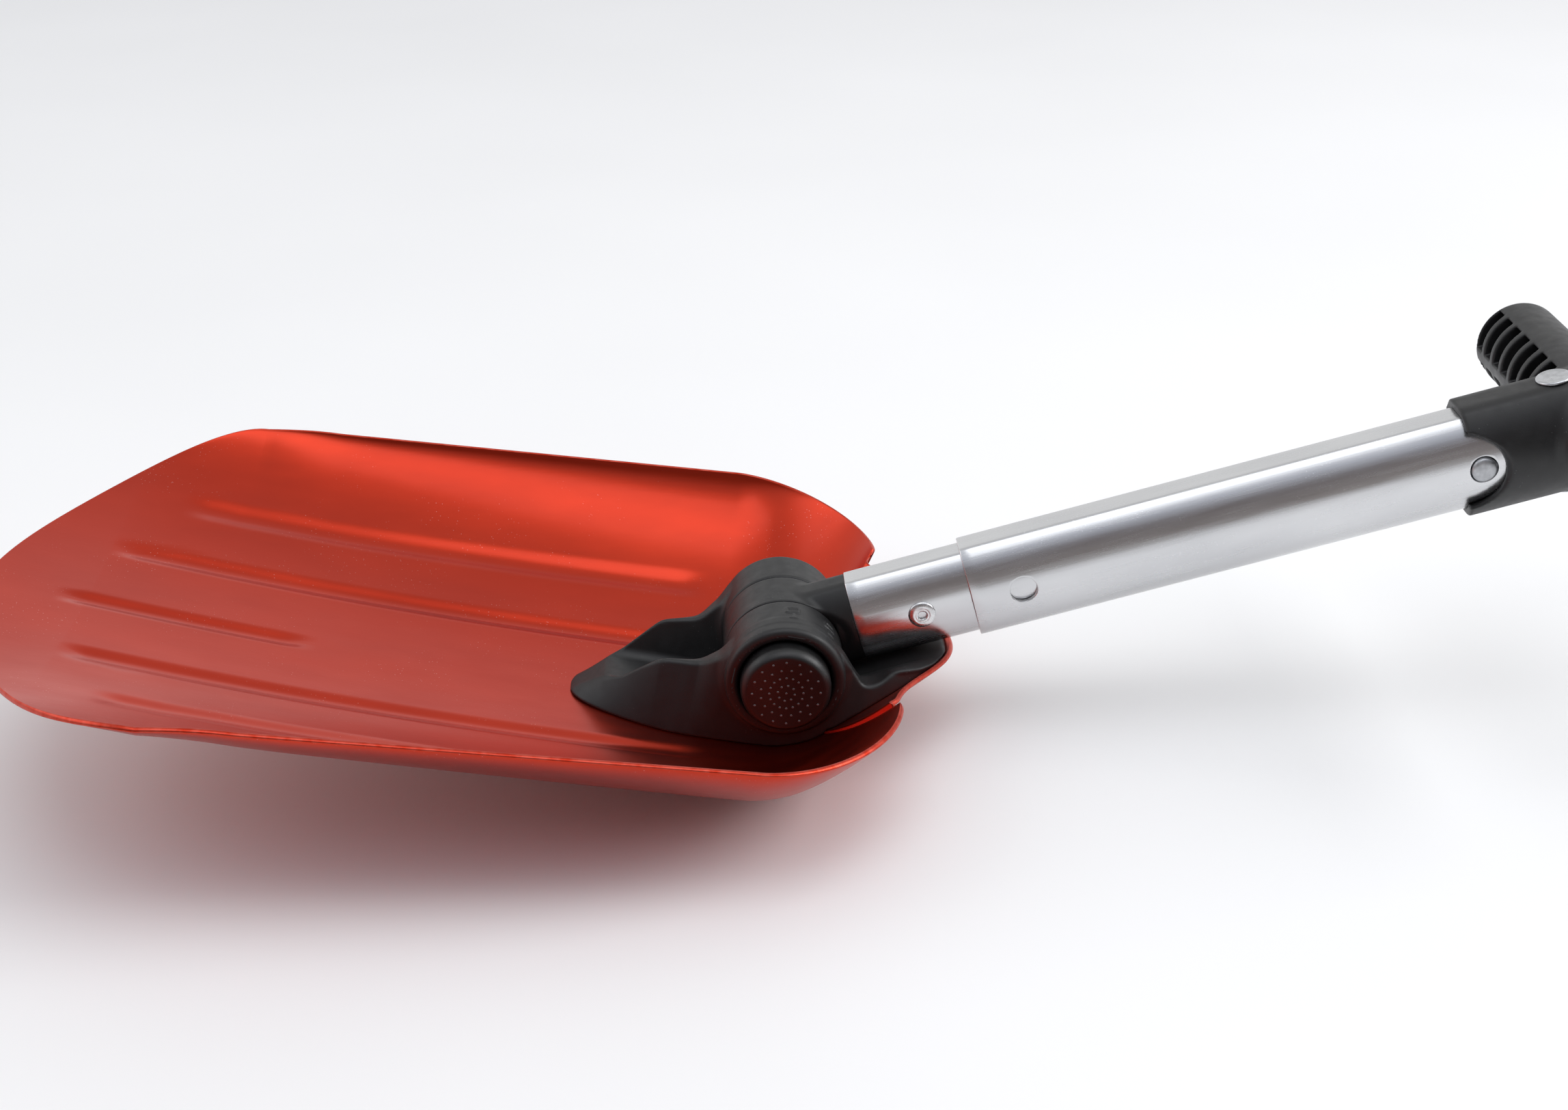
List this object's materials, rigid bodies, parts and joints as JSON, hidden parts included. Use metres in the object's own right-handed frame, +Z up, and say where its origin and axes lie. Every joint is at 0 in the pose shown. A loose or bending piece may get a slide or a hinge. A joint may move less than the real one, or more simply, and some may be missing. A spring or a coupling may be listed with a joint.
{
  "type": "folding camp shovel",
  "caption": "Compact folding shovel: pressed scoop blade, push-button locking hinge, telescoping tube shaft and T-grip.",
  "frame": {"origin": "on the ground, below the middle of the whole object's box, with the shaft collapsed and locked in its digging position", "axes": "+X from the blade's tip towards the grip, +Z up, +Y to the side away from the push button; the shovel lies on its rear bowl, tipped back 12.5 degrees"},
  "size_m": [0.5658, 0.2336, 0.1235],
  "materials": {
    "red_sheet": "red anodised, satin",
    "black_plastic": "satin black, glass-filled",
    "bright_tube": "bright drawn",
    "rivet_alloy": "satin",
    "steel": "zinc plated"
  },
  "bodies": {
    "blade": {"blade": "red_sheet", "hinge_bracket": "black_plastic", "bracket_rivets": "rivet_alloy", "rivet_washers": "steel", "hinge_axle": "steel", "axle_washer": "steel", "axle_nut": "steel", "far_cap": "black_plastic"},
    "button": {"push_button": "black_plastic", "lock_gear": "steel", "gear_screws": "steel", "lock_spring": "steel"},
    "shaft": {"hinge_knuckle": "black_plastic", "inner_tube": "bright_tube", "stub_rivets": "rivet_alloy", "tube_glide": "black_plastic", "snap_spring": "steel"},
    "snap": {"snap_button": "steel"},
    "handle": {"outer_tube": "bright_tube", "tee_grip": "black_plastic", "grip_rivet": "steel", "rivet_caps": "steel"}
  },
  "joints": [
    {"name": "shaft_fold", "type": "hinge", "parent": "blade", "child": "shaft", "pos_m": [-0.0113, 0, 0.03062], "axis": [0, -1, 0], "range_deg": [0, 150]},
    {"name": "hinge_button", "type": "slide", "parent": "blade", "child": "button", "axis": [0, 1, 0], "range_m": [0, 0.0065], "stiffness_N_per_m": 700, "springref_m": -0.006, "deforming": ["lock_spring"]},
    {"name": "telescope", "type": "slide", "parent": "shaft", "child": "handle", "axis": [0.9681, 0, 0.2504], "range_m": [0, 0.1594], "deforming": ["snap_button"]},
    {"name": "snap_button", "type": "slide", "parent": "shaft", "child": "snap", "axis": [0, 1, 0], "range_m": [0, 0.004], "stiffness_N_per_m": 500, "springref_m": -0.004, "deforming": ["snap_spring"]}
  ]
}
